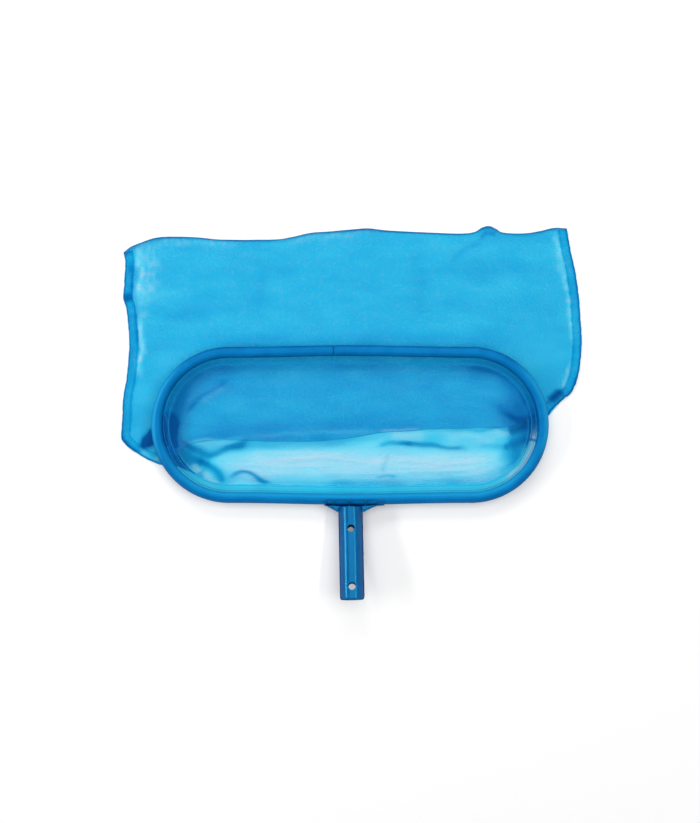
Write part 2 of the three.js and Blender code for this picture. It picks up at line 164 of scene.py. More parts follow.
NET_EDGE_LEVEL = HOOP_LEVEL - HEM_THICKNESS / 2 - NET_BELOW_HEM  # where the net joins the hem


# Curves

CURVE_STEPS = 12  # from one given point to the next
CREASE_STEPS = 8
WAVES = 14  # in a field
WANDER_LENGTH = 32 * MM  # how a crease strays from its line
MOST_WANDER = 1.0 * MM
FADE_RATE, FADE_LEAST = 6, 0.25  # towards a crease's ends


def on_photo(pixels):
    """Places in metres, x and y, of a list of the photograph's pixels."""
    away = np.asarray(pixels, float) - HOOP_ON_PHOTO
    return away * (PHOTO_SCALE, -PHOTO_SCALE) + (HOOP_X, HOOP_Y)


def bow_at(x):
    """How far the hoop's two long runs bow outward, by the way from their middle."""
    return HOOP_BOW * np.cos(np.pi * np.minimum(np.abs(x), HALF_RUN) / (2 * HALF_RUN)) ** 2


def hoop_at(distance):
    """Places of the tube's axis and the ways inward, by distance along the hoop from its joint."""
    s = np.mod(np.asarray(distance, float), HOOP_LOOP)
    place, inward = np.empty((*s.shape, 2)), np.empty((*s.shape, 2))
    far = (s < LEFT_ARC) | (s >= LAST_RUN)
    near = (s >= NEAR_RUN) & (s < RIGHT_ARC)
    for run, side, x in (
        (far, 1, JOINT_OFFSET - np.where(s < LEFT_ARC, s, s - HOOP_LOOP)),
        (near, -1, s - NEAR_RUN - HALF_RUN),
    ):
        place[run] = np.stack([x, side * (END_RADIUS + bow_at(x))], axis=-1)[run]
        inward[run] = (0, -side)
    for turn, middle, angle in (
        (~far & (s < NEAR_RUN), -HALF_RUN, np.pi / 2 + (s - LEFT_ARC) / END_RADIUS),
        (~far & (s >= RIGHT_ARC), HALF_RUN, -np.pi / 2 + (s - RIGHT_ARC) / END_RADIUS),
    ):
        out = np.stack([np.cos(angle), np.sin(angle)], axis=-1)
        place[turn] = (out * END_RADIUS + (middle, 0))[turn]
        inward[turn] = -out[turn]
    return place + (HOOP_X, HOOP_Y), inward


def beside_hoop(distance, inset):
    place, inward = hoop_at(distance)
    return place + inward * inset


def inside_hoop(xy):
    """How far each place is inward from the tube's axis; less than nothing outside the hoop."""
    x, y = np.abs(xy[..., 0] - HOOP_X), np.abs(xy[..., 1] - HOOP_Y)
    return END_RADIUS + bow_at(x) - np.hypot(np.maximum(x - HALF_RUN, 0), y)


def lengths_along(line):
    """How far along a line of points each of them is."""
    return np.concatenate([[0], np.cumsum(np.linalg.norm(np.diff(line, axis=0), axis=1))])


def smooth_line(corners, count):
    """A smooth line through a few points, as that many points evenly apart."""
    p = np.asarray(corners, float)
    p = np.concatenate([[2 * p[0] - p[1]], p, [2 * p[-1] - p[-2]]])
    t = np.linspace(0, 1, CURVE_STEPS, endpoint=False)[:, None]
    parts = []
    for a, b, c, d in zip(p[:-3], p[1:-2], p[2:-1], p[3:]):
        square, cube = 2 * a - 5 * b + 4 * c - d, 3 * b - a - 3 * c + d
        parts.append(0.5 * (2 * b + (c - a) * t + square * t**2 + cube * t**3))
    line = np.concatenate([*parts, p[-2:-1]])
    along = lengths_along(line)
    to = np.linspace(0, along[-1], count)
    return np.stack([np.interp(to, along, line[:, k]) for k in (0, 1)], axis=-1)


def nearest(xy, line):
    """How far each place is from a line of points, and how far along the line, from 0 to 1."""
    best, along = np.full(xy.shape[:-1], np.inf), np.zeros(xy.shape[:-1])
    for k, (a, b) in enumerate(zip(line[:-1], line[1:])):
        way = b - a
        share = np.clip(((xy - a) @ way) / max(way @ way, 1e-12), 0, 1)
        far = np.linalg.norm(xy - a - share[..., None] * way, axis=-1)
        along = np.where(far < best, (k + share) / (len(line) - 1), along)
        best = np.minimum(best, far)
    return best, along


def distance_to(xy, line):
    return nearest(xy, line)[0]


def bell(far, width):
    """1 where far is nothing, falling smoothly to 0 a few widths away."""
    return np.exp(-((far / width) ** 2))


def step(value, low, high):
    """0 below low and 1 above high, smooth between."""
    t = np.clip((value - low) / (high - low), 0, 1)
    return t * t * (3 - 2 * t)


def waves(xy, length, seed, stretch=(1, 1)):
    """A smooth random field of about unit height, with waves of about that length."""
    rng = np.random.default_rng(seed)
    angle = rng.uniform(0, 2 * np.pi, WAVES)
    phase = rng.uniform(0, 2 * np.pi, WAVES)
    wave = 2 * np.pi / length * rng.uniform(0.7, 1.3, WAVES)
    total = np.zeros(xy.shape[:-1])
    for a, p, k in zip(angle, phase, wave):
        across = xy[..., 0] / stretch[0] * np.cos(a) + xy[..., 1] / stretch[1] * np.sin(a)
        total += np.cos(k * across + p)
    return total * math.sqrt(2 / WAVES)


def rippled(xy, fields):
    """The sum of fields of waves, each given by its height, length, seed and, if any, stretch."""
    return sum(height * waves(xy, *field) for height, *field in fields)


def puckers(s, lengths, seed):
    """The sum of a few waves along a sewn band, each from its own start."""
    phases = np.random.default_rng(seed).uniform(0, 6.28, len(lengths))
    return sum(np.sin(2 * np.pi * s / length + phase) for length, phase in zip(lengths, phases))


def added(xy, creases, what):
    """What some creases, bunches, stretched places and bands of painted shade add in all to the
    cloth's gather, gleam (a painted highlight) or height. Each is a line of the photograph's pixels,
    its half width in pixels, and what it adds to the gather, the gleam and, in millimetres, the
    height. They wander and fade at their ends."""
    wander = np.stack([waves(xy, WANDER_LENGTH, seed) for seed in (41, 42)], axis=-1)
    total = np.zeros(xy.shape[:-1])
    for corners, half_width, *adds in creases:
        much = dict(zip(("gather", "gleam", "height"), adds)).get(what)
        if much:
            line, width = on_photo(corners), half_width * PHOTO_SCALE
            if len(line) > 2:
                line = smooth_line(line, CREASE_STEPS * len(line))
            far, along = nearest(xy + wander * min(0.4 * width, MOST_WANDER), line)
            fade = np.clip(FADE_RATE * np.minimum(along, 1 - along) + FADE_LEAST, 0, 1)
            total += much * fade * bell(far, width)
    return total * (MM if what == "height" else 1)


# Meshes


def linked(name, data):
    made = bpy.data.objects.new(name, data)
    bpy.context.scene.collection.objects.link(made)
    return made


def new_object(name, bm, closed=True):
    if closed:
        bmesh.ops.recalc_face_normals(bm, faces=bm.faces)
    data = bpy.data.meshes.new(name)
    bm.to_mesh(data)
    bm.free()
    data.shade_smooth()
    return linked(name, data)


def raised(xy, z):
    return np.concatenate([xy, z[..., None]], axis=-1)


def grid(name, points, uv, closed=False):
    """A mesh on rows of points; closed joins each row's ends and caps the first and last rows."""
    rows, columns = points.shape[:2]
    uv = uv.reshape(-1, 2)
    bm = bmesh.new()
    verts = [bm.verts.new(p) for p in points.reshape(-1, 3)]
    layer = bm.loops.layers.uv.new("UVMap")
    for start in range(0, (rows - 1) * columns, columns):
        for j in range(columns if closed else columns - 1):
            one, two = start + j, start + (j + 1) % columns
            corners = [one, two, two + columns, one + columns]
            face = bm.faces.new([verts[c] for c in corners])
            for loop, c in zip(face.loops, corners):
                loop[layer].uv = uv[c]
    if closed:
        bm.faces.new(verts[:columns][::-1])
        bm.faces.new(verts[-columns:])
    return new_object(name, bm, closed)


def swept(name, xy, z, along, section):
    """A closed band or tube of rows of points, with the ways along it and around it as its UV."""
    uv = np.stack(np.broadcast_arrays(along, lengths_along(section)[None]), axis=-1)
    return grid(name, raised(xy, z), uv, closed=True)


def along_hoop(name, section, start, end, steps, wobble=None):
    """A closed section of (inset, height) points swept along the hoop."""
    s = np.linspace(start, end, steps)[:, None]
    place, inward = hoop_at(s)
    section = np.asarray(section)
    inset, height = (np.broadcast_to(section[:, k], (steps, len(section))) for k in (0, 1))
    if wobble is not None:
        inset, height = wobble(s, inset, height)
    return swept(name, place + inward * inset[..., None], HOOP_LEVEL + height, s, section)


def arc(radius, start, end, count):
    """Points round an arc, in degrees."""
    angle = np.radians(np.linspace(start, end, count))
    return [(radius * math.cos(a), radius * math.sin(a)) for a in angle]


def band_section(profile, start, thickness):
    """A band's closed section from the profile of its upper half."""
    top = [(start + across * MM, share * thickness / 2) for across, share in profile]
    return np.array(top + [(across, -height) for across, height in top[::-1] if height])


def skin(bm, rings, tips=None):
    """Faces between closed rings of places and over both ends, flat or up to a tip."""
    rings = [[bm.verts.new(p) for p in ring] for ring in rings]
    for one, two in zip(rings, rings[1:]):
        for k in range(len(one)):
            bm.faces.new([one[k - 1], one[k], two[k], two[k - 1]])
    if tips is None:
        bm.faces.new(rings[0][::-1])
        bm.faces.new(rings[-1])
        return
    for ring, tip in zip((rings[0][::-1], rings[-1]), tips):
        top = bm.verts.new(tip)
        for k in range(len(ring)):
            bm.faces.new([top, ring[k - 1], ring[k]])


def finished(piece, material, slot, *nodes):
    """Gives a piece its material and its body, and hides the CAD nodes it stands for. The slot is
    not used.
    """
    piece.data.materials.clear()
    piece.data.materials.append(material)
    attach(piece, "root")
    if nodes:
        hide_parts(*nodes)
    return piece


def points_of(piece):
    at = np.empty(len(piece.data.vertices) * 3)
    piece.data.vertices.foreach_get("co", at)
    return at.reshape(-1, 3)


def set_points(piece, name, values):
    """A named value at each of the mesh's points, which its material reads."""
    made = piece.data.attributes.new(name, "FLOAT", "POINT")
    made.data.foreach_set("value", np.asarray(values, np.float32))


def set_cloth(piece, gather, gleam):
    """How tightly the cloth is drawn together and how much painted highlight (gleam) it gets,
    point by point. Slopes are set tighter, because a look from above passes more cloth there."""
    count = len(piece.data.vertices)
    normals = np.empty(count * 3)
    piece.data.vertex_normals.foreach_get("vector", normals)
    slope = 1 / np.clip(np.abs(normals.reshape(-1, 3)[:, 2]), LEAST_FACING, 1)
    set_points(piece, "gather", np.clip(np.ravel(gather) * slope, 0, MOST_GATHER))
    set_points(piece, "gleam", np.clip(np.broadcast_to(np.ravel(gleam), count), 0, MOST_GLEAM))


# Materials


def rgb(red, green, blue):
    return (red, green, blue, 1)


WHITE = rgb(1, 1, 1)
# painted light: the tube's paler colour where it is lit
PAINTED_LIGHT_COLOUR = rgb(0.012, 0.36, 0.7)
# painted shade, low in the socket's open pockets
POCKET_SHADE_COLOUR = rgb(0.0, 0.03, 0.14)
WEAVE_PITCH = 0.8 * MM
YARN = 0.42 * MM
WEAVE_SLACK = 1.6 * MM
YARN_TINT = rgb(0.15, 0.78, 0.91)  # of the light that passes a thread
TAPE_TINT = rgb(0.12, 0.8, 0.985)
YARN_COLOUR = rgb(0.01, 0.33, 0.72)
BUNCH_COLOUR = rgb(0.0, 0.075, 0.29)
# painted highlight: the whitish colour mixed in where the cloth shines
PAINTED_SHINE_COLOUR = rgb(0.88, 0.84, 0.96)
# an even share of painted highlight all over the net
NET_GLEAM = 0.012
LEAST_FACING = 0.6
MOST_GATHER = 3.2
MOST_GLEAM = 0.8


class Look:
    """The shader nodes of a new material, or of the world, while they are built."""

    def __init__(self, name, kind="Material"):
        self.owner = (bpy.data.worlds if kind == "World" else bpy.data.materials).new(name)
        self.owner.use_nodes = True
        self.tree = self.owner.node_tree
        self.tree.nodes.clear()
        self.out = self.node("Output" + kind)

    def node(self, kind, inputs=(), **settings):
        made = self.tree.nodes.new("ShaderNode" + kind)
        for key, value in settings.items():
            setattr(made, key, value)
        for key, value in dict(inputs).items():
            if isinstance(value, bpy.types.NodeSocket):
                self.tree.links.new(value, made.inputs[key])
            else:
                made.inputs[key].default_value = value
        return made

    def put(self, kind, inputs=(), **settings):
        """A node's first output."""
        return self.node(kind, inputs, **settings).outputs[0]

    def maths(self, operation, a, b):
        return self.put("Math", {0: a, 1: b}, operation=operation)

    def vectors(self, operation, a, b):
        return self.put("VectorMath", {0: a, 1: b}, operation=operation)

    def noise(self, vector, scale, detail, rough=0.5):
        inputs = {"Vector": vector, "Scale": scale, "Detail": detail, "Roughness": rough}
        return self.put("TexNoise", inputs)

    def between(self, value, low, high, to_low=0, to_high=1):
        """A value from low to high turned into one from to_low to to_high, and held there."""
        ends = {"From Min": low, "From Max": high, "To Min": to_low, "To Max": to_high}
        return self.put("MapRange", {"Value": value, **ends})

    def blend(self, factor, a, b):
        return self.node("Mix", {0: factor, 6: a, 7: b}, data_type="RGBA").outputs[2]

    def mix(self, factor, a, b):
        return self.put("MixShader", {0: factor, 1: a, 2: b})

    def place(self):
        return self.node("TexCoord").outputs["Object"]

    def attribute(self, name):
        return self.node("Attribute", attribute_name=name).outputs["Fac"]

    def bump(self, height, distance, strength):
        return self.put("Bump", {"Height": height, "Distance": distance, "Strength": strength})

    def seen(self):
        """1 for what is seen, by itself, in gloss or through glass, and 0 for what gives light."""
        path = self.node("LightPath")
        direct, glossy, through = (
            path.outputs[f"Is {ray} Ray"] for ray in ("Camera", "Glossy", "Transmission")
        )
        return self.maths("MAXIMUM", self.maths("MAXIMUM", direct, glossy), through)

    def principled(self, inputs):
        return self.finish(self.put("BsdfPrincipled", inputs))

    def finish(self, shader):
        self.tree.links.new(shader, self.out.inputs["Surface"])
        return self.owner


def plastic(name, deep, light, rough, shine):
    """Glossy blue moulded plastic, a little mottled, with faint scuffs. Its pale attribute paints
    light on as a paler colour, and a second attribute paints shade on as a dark colour."""
    look = Look(name)
    place = look.place()
    mottle = look.between(look.noise(place, 45, 3), 0.35, 0.65)
    # painted light: paler where the pale attribute says so
    colour = look.blend(look.attribute("pale"), look.blend(mottle, deep, light), PAINTED_LIGHT_COLOUR)
    # painted shade, dark where the second attribute says so
    colour = look.blend(look.attribute("pocket_shade"), colour, POCKET_SHADE_COLOUR)
    edge = look.node("LayerWeight", {"Blend": 0.5}).outputs["Facing"]
    drawn = look.put("Mapping", {"Vector": place, "Scale": (1, 0.15, 1)})
    scuffs = look.noise(drawn, 900, 3, 0.7)
    return look.principled({
        "Base Color": colour,
        "Roughness": look.between(scuffs, 0.3, 0.75, rough * 0.8, rough * 1.35),
        "Normal": look.bump(look.noise(place, 260, 2), 0.05 * MM, 0.35),
        "Specular IOR Level": look.between(edge, 0.25, 0.6, shine, 0.0),
        "Specular Tint": rgb(0.06, 0.7, 1.0),
    })


def thread(name, colour):
    """Twisted polyester thread."""
    look = Look(name)
    shade = tuple(0.7 * c for c in colour[:3]) + (1,)
    colour = look.blend(look.noise(look.place(), 2500, 1), shade, colour)
    return look.principled({"Base Color": colour, "Roughness": 0.55, "Sheen Weight": 0.2})


def braid(name, deep, light):
    """Braided cord with a fine grain, a little shiny."""
    look = Look(name)
    place = look.place()
    grain = look.noise(place, 1400, 2)
    return look.principled({
        "Base Color": look.blend(look.between(look.noise(place, 60, 3), 0.3, 0.7), deep, light),
        "Roughness": look.between(grain, 0.3, 0.7, 0.4, 0.6),
        "Normal": look.bump(grain, 0.12 * MM, 0.6),
        "Sheen Weight": 0.1,
    })


def steel(name):
    look = Look(name)
    brushed = look.noise(look.place(), 1800, 2, 0.6)
    return look.principled({
        "Base Color": look.blend(brushed, rgb(0.5, 0.51, 0.52), rgb(0.62, 0.63, 0.64)),
        "Metallic": 1.0,
        "Roughness": look.between(brushed, 0.3, 0.7, 0.22, 0.38),
    })


def mesh_cloth(name, colour, closed=0.0):
    """Fine see-through mesh, or tape where it is closed by half its pitch. The gather attribute
    says how tightly it is drawn together, so that less light comes through, and the gleam
    attribute how much painted highlight it gets, a whitish diffuse colour mixed in where
    stretched threads shine."""
    look = Look(name)
    gather, gleam = look.attribute("gather"), look.attribute("gleam")
    uv = look.put("UVMap", uv_map="UVMap")
    slack = look.node("TexNoise", {"Vector": uv, "Scale": 150, "Detail": 1}).outputs["Color"]
    laid = look.vectors("ADD", uv, look.vectors("MULTIPLY", slack, (WEAVE_SLACK,) * 3))
    ways = look.node("SeparateXYZ", {0: laid}).outputs
    half_yarn = look.maths("ADD", look.maths("MULTIPLY", gather, YARN / 2), closed)
    warp, weft = (
        look.maths("LESS_THAN", look.maths("PINGPONG", ways[k], WEAVE_PITCH / 2), half_yarn)
        for k in (0, 1)
    )
    on_yarn = look.maths("MAXIMUM", warp, weft)
    stretched = look.put("Mapping", {"Vector": uv, "Scale": (7, 70, 1)})
    streaks = look.between(look.noise(stretched, 1.0, 4, 0.6), 0.3, 0.7, 0.93, 1.07)
    tint = look.put("Gamma", {"Color": colour, "Gamma": look.maths("MULTIPLY", gather, streaks)})
    through = look.put("BsdfTransparent", {"Color": look.blend(on_yarn, WHITE, tint)})
    bunched = look.between(gather, 1.2, 2.3)
    yarn = look.put("BsdfPrincipled", {
        "Base Color": look.blend(bunched, YARN_COLOUR, BUNCH_COLOUR),
        "Roughness": 0.6,
        "Specular IOR Level": 0.12,
        "Specular Tint": rgb(0.1, 0.8, 1.0),
    })
    dense = look.maths("MULTIPLY", bunched, 0.6)
    dense = look.maths("ADD", look.maths("MULTIPLY", gather, 0.1), dense)
    cloth = look.mix(look.maths("MULTIPLY", on_yarn, dense), through, yarn)
    grain = look.between(look.noise(stretched, 2.2, 4, 0.7), 0.35, 0.65, 0.5, 1.5)
    # painted highlight, mixed in as a whitish diffuse colour
    painted_shine = look.maths("MULTIPLY", gleam, grain)
    painted_shine = look.maths("MULTIPLY", painted_shine, look.between(gather, 1.2, 1.8, 1, 0.15))
    return look.finish(look.mix(painted_shine, cloth, look.put("BsdfDiffuse", {"Color": PAINTED_SHINE_COLOUR})))


TUBE_LOOK = plastic("tube_plastic", rgb(0.0, 0.128, 0.38), rgb(0.001, 0.157, 0.44), 0.3, 0.36)
SOCKET_LOOK = plastic(
    "socket_plastic", rgb(0.0, 0.06, 0.235), rgb(0.001, 0.077, 0.275), 0.21, 0.8
)
JOINER_LOOK = plastic("joiner_plastic", rgb(0.0, 0.09, 0.28), rgb(0.001, 0.12, 0.33), 0.35, 0.36)
STEEL_LOOK = steel("screw_steel")
CORD_LOOK = braid("bead_cord", rgb(0.002, 0.17, 0.44), rgb(0.005, 0.21, 0.5))
THREAD_LOOK = thread("stitch_thread", rgb(0.008, 0.24, 0.58))
HEM_LOOK = mesh_cloth("hem_tape", TAPE_TINT, WEAVE_PITCH / 2)
SEAM_LOOK = mesh_cloth("seam_tape", YARN_TINT, WEAVE_PITCH / 2)
NET_LOOK = mesh_cloth("net_mesh", YARN_TINT)


# Hoop


def slotted_section():
    """The tube's section, open on its inner side, as (inset, height) points."""
    outer = math.degrees(math.asin(SLOT_HEIGHT / 2 / TUBE_RADIUS))
    inner = math.degrees(math.asin(SLOT_HEIGHT / 2 / BORE_RADIUS))
    lip = outer + 3
    return [
        *arc(TUBE_RADIUS, lip, 360 - lip, OUTER_POINTS),
        *arc(TUBE_RADIUS - SLOT_BEVEL, 360 - outer, 360 - outer, 1),
        *arc(BORE_RADIUS, 360 - inner, inner, BORE_POINTS),
        *arc(TUBE_RADIUS - SLOT_BEVEL, outer, outer, 1),
    ]


def hoop_tube():
    """Painted light: the inner side of its near half and the outside of its two ends get a paler
    colour.
    """
    start = JOINT_GAP / 2
    made = along_hoop("rim_tube", slotted_section(), start, HOOP_LOOP - start, RIM_STEPS)
    at = points_of(made)
    inset = inside_hoop(at[:, :2]) / TUBE_RADIUS
    ahead = (HOOP_Y - at[:, 1]) / END_RADIUS
    aside = (np.abs(at[:, 0] - HOOP_X) - HALF_RUN) / END_RADIUS
    # painted light on the near half's inner side and round the outside of the two ends
    pale = PALE_INSIDE * step(inset, -0.1, 0.95) * step(ahead, 0.1, 0.85)
    at_end = step(aside, 0.5, 0.9) * (1 - step(ahead, 0.1, 0.6))
    set_points(made, "pale", pale + PALE_OUTSIDE * step(-inset, -0.1, 0.6) * at_end)
    return finished(made, TUBE_LOOK, "tube_plastic", "hoop_rim")


# Hem

# Creases: line, half width, gather, gleam, height. Gleam is painted highlight.
HEM_CREASES = [
    ([(163, 414), (164, 427), (165, 438), (168, 449)], 6.4, 2.8),
    ([(171, 450), (182, 470), (200, 486)], 8, 0.1),
    ([(537, 440), (529, 464), (511, 483)], 8, 0.15),
    ([(168, 412), (172, 392), (184, 374), (204, 359)], 6, 0.08),
    ([(526, 383), (531, 398), (534, 413), (535, 426)], 5, 0.35),
    ([(200, 490), (240, 492), (350, 494), (460, 492), (500, 488)], 7, 0.12),
    ([(215, 359), (280, 357), (420, 357), (485, 359)], 7, -0.18),
    # painted highlight: the bright crescent on the hem at the right of the mouth
    ([(533.5, 430), (532.5, 438.5), (530.5, 446), (527.5, 453), (523.5, 460), (518, 467),
      (505, 478)], 3.0, -0.19, 0.12),
    ([(529, 439), (536, 441)], 1.2, 1.4, -0.2),
]


def hem_band():
    """Tape folded over the net's edge: thin in the tube's slot, with two fuller borders."""

    def wobble(s, inset, height):
        wave = puckers(s, HEM_PUCKERS, HEM_SEED) * step(inset, TUBE_RADIUS, HEM_INSET)
        return inset + wave * HEM_WAVE, height + wave * HEM_SWELL

    start = HEM_SPLIT / 2
    section = band_section(HEM_PROFILE, TUBE_RADIUS, HEM_THICKNESS)
    made = along_hoop("hem_band", section, start, HOOP_LOOP - start, HEM_STEPS, wobble)
    xy = points_of(made)[:, :2]
    roll = bell(HEM_INSET - 1.2 * MM - inside_hoop(xy), 1.3 * MM)
    gather = HEM_GATHER + 0.05 * roll + added(xy, HEM_CREASES, "gather")
    set_cloth(made, gather, added(xy, HEM_CREASES, "gleam"))
    return finished(made, HEM_LOOK, "hem_tape", "mouth_hem")


def stitch(place, way, up):
    """A short round-ended thread that arches up, as rings of places."""
    side = way.cross(up).normalized()
    rings = []
    for along, swell in STITCH_SHAPE:
        arch = THREAD_RADIUS * (1 - (2 * along) ** 2)
        middle = place + way * along * STITCH_LENGTH + up * arch
        angles = [2 * math.pi * k / THREAD_SIDES for k in range(THREAD_SIDES)]
        radius = THREAD_RADIUS * swell
        rings.append([middle + (side * math.cos(a) + up * math.sin(a)) * radius for a in angles])
    return rings


def hem_stitches():
    """Two rows of stitches, one along each border of the hem, above and below."""
    s = np.arange(2 * MM, HOOP_LOOP - 2 * MM, STITCH_PITCH)
    _, inward = hoop_at(s)
    made = []
    for row, inset in (("outer", TUBE_RADIUS + HEM_BORDER), ("inner", HEM_INSET - HEM_BORDER)):
        bm = bmesh.new()
        for side in (1, -1):
            for (x, y), (across, ahead) in zip(beside_hoop(s, inset), inward):
                place = Vector((x, y, HOOP_LEVEL + side * STITCH_LEVEL))
                skin(bm, stitch(place, Vector((-ahead, across, 0)), Vector((0, 0, side))))
        made.append(finished(new_object(f"hem_stitches_{row}", bm), THREAD_LOOK, "hem_tape"))
    return made


# Bag. Its one sheet starts under the hem's far half, hangs into the mouth, turns back at the fold
# line, runs under the hoop to the closed end, turns again and comes back flat to the near half.

LEFT_EDGE = [
    (164, 464), (155, 462), (148, 459), (136, 452), (128, 446), (123, 440), (122, 434), (123, 418),
    (124, 398), (127, 380), (129, 362), (130, 345), (129, 325), (127, 308), (124, 299), (125, 284),
    (126, 262), (124, 253),
]
RIGHT_EDGE = [
    (546, 416), (551, 410), (557, 404), (564, 398), (571, 392), (576, 381), (579, 367), (581, 345),
    (580, 322), (578, 296), (575, 274), (571, 256), (568, 240), (566, 229),
]
TOP_EDGE = [
    (124, 253), (131, 247.5), (142, 243), (155, 238.5), (172, 237), (200, 238), (222, 240),
    (274, 240), (290, 238), (310, 233.5), (330, 232), (352, 230), (367, 229), (388, 231),
    (430, 233), (460, 234), (474, 232.5), (482, 228), (489, 226.5), (496, 229.5), (503, 233),
    (524, 234), (540, 231.5), (553, 228.5), (566, 229),
]
FOLD_LINE = [
    (187, 446), (203, 441), (225, 439.5), (250, 440), (280, 441), (315, 440.5), (340, 438.5),
    (362, 435), (382, 432), (412, 430), (440, 428), (470, 428), (500, 427), (516, 424),
]

PANEL_CREASES = [
    ([(230, 379), (217, 388), (206, 395), (196, 402), (186, 413)], 2.2, 1.0, 0, 1.6),
    ([(224, 386), (213, 394), (202, 402)], 3, -0.22, 0.03),
    ([(189, 391), (183, 404), (178, 418), (174, 430)], 5, 0.62, 0, 0.8),
    ([(177, 418), (173, 432), (169, 448)], 7, 0.9, 0, 0.5),
    ([(168, 412), (169, 426), (171, 440), (174, 452)], 7, 1.8),
    ([(180, 430), (177, 440), (175, 450)], 6, 0.5),
    ([(176, 415), (180, 397), (191, 379), (211, 367), (240, 361)], 10, 0.75),
    ([(494, 403), (504, 410), (516, 419), (528, 427)], 5, 0.75, 0, 0.8),
    ([(496, 413), (508, 415), (520, 421), (530, 428)], 4.5, 0.5, 0, 0.4),
    ([(505, 399), (514, 405), (523, 414), (530, 424)], 5, 0.5, 0, 0.4),
    ([(520, 388), (529, 402), (535, 420)], 6, 0.6),
    ([(498, 423), (510, 423), (522, 426), (532, 431)], 4, 0.45, 0, 0.4),
    ([(508, 408), (522, 417), (534, 430)], 11, 0.35),
    ([(462, 362), (498, 371), (517, 388), (529, 412)], 11, 0.85),
    # painted shade: a darker band just above the fold line
    ([(195, 432), (300, 431), (380, 425), (460, 421), (505, 421)], 9, 0.34),
    # painted shade: a darker band just inside the tube's far run
    ([(220, 366), (340, 365), (470, 366)], 6, 0.32),
    ([(419, 398), (424, 388), (433, 380)], 4, 0.14, 0, 0.8),
    # painted highlight lines along the fold
    ([(250, 436.5), (280, 434.5), (312, 432.5), (345, 431.5), (376, 430)], 1.8, -0.4, 0.02),
    ([(380, 431), (398, 430.5), (418, 429)], 1.4, -0.3, 0.08),
    ([(190, 441.5), (212, 440), (248, 438)], 1.3, -0.2, 0.04),
    ([(186, 437), (202, 437), (232, 435)], 3, 0.35),
    ([(384, 427), (400, 426.5), (418, 426)], 1.6, 0.3),
]
UPPER_CREASES = [
    ([(451, 264), (458, 254), (468, 247), (481, 243)], 3, 0.16, 0, 0.7),
    ([(478, 238), (487, 232), (497, 235)], 2.5, 0.4, 0, 0.8),
    # painted highlight patches beside the two side seams and along the top
    ([(144, 244), (149, 262), (149, 280), (145, 302)], 9, -0.15, 0.05, 0.6),
    ([(139, 246), (141, 268), (140, 296)], 3, -0.28, 0.07),
    ([(141, 318), (141.5, 345), (140, 376)], 3.4, -0.42, 0.08),
    ([(141, 300), (142, 318)], 6, -0.12, 0.03, 0.8),
    ([(155, 243), (195, 241.5), (235, 244)], 5, -0.12, 0.03),
    ([(284, 241), (320, 237), (372, 236)], 5, -0.08, 0.03),
    ([(555, 234), (559, 254), (563, 272), (568, 294)], 4.2, -0.28, 0.045),
    ([(566, 288), (570.5, 315), (573, 342)], 2.8, -0.26, 0.05),
    ([(157, 430), (152, 438), (144, 444)], 4.6, 3.2, 0, 1),
    ([(157, 440), (150, 443), (141, 446)], 3.4, 1.8),
    ([(549, 401), (555, 396.5), (561, 391)], 4.2, 1.3, 0, 0.8),
    ([(135, 449), (148, 455), (159, 458)], 2.4, -0.4, 0.05),
    ([(563, 388), (566, 378), (568, 364)], 2.4, -0.2, 0.08),
    ([(165, 318), (190, 312), (212, 316)], 4, 0.1, 0, 0.6),
    ([(255, 253), (262, 276), (258, 300)], 6, 0.08, 0, 0.6),
    ([(415, 250), (421, 285), (417, 320)], 7, 0.08, 0, 0.6),
    # painted shade: a darker band just outside the tube's far run
    ([(200, 344), (300, 339), (480, 340), (520, 352)], 7, 0.1),
]
SEAM_CREASES = [
    ([(122, 301), (127, 298), (134, 293)], 3.6, 1.2),
    ([(133, 262), (132, 280), (133, 292)], 1.6, 0.5),
    ([(134, 300), (137, 320), (138, 345)], 1.6, 0.5),
    ([(124, 254), (130, 250), (136, 247)], 2.4, 0.5),
    ([(123, 436), (130, 446), (141, 453)], 1.6, 0.5),
    ([(563, 398), (573, 390), (578, 376)], 1.8, 0.5),
]
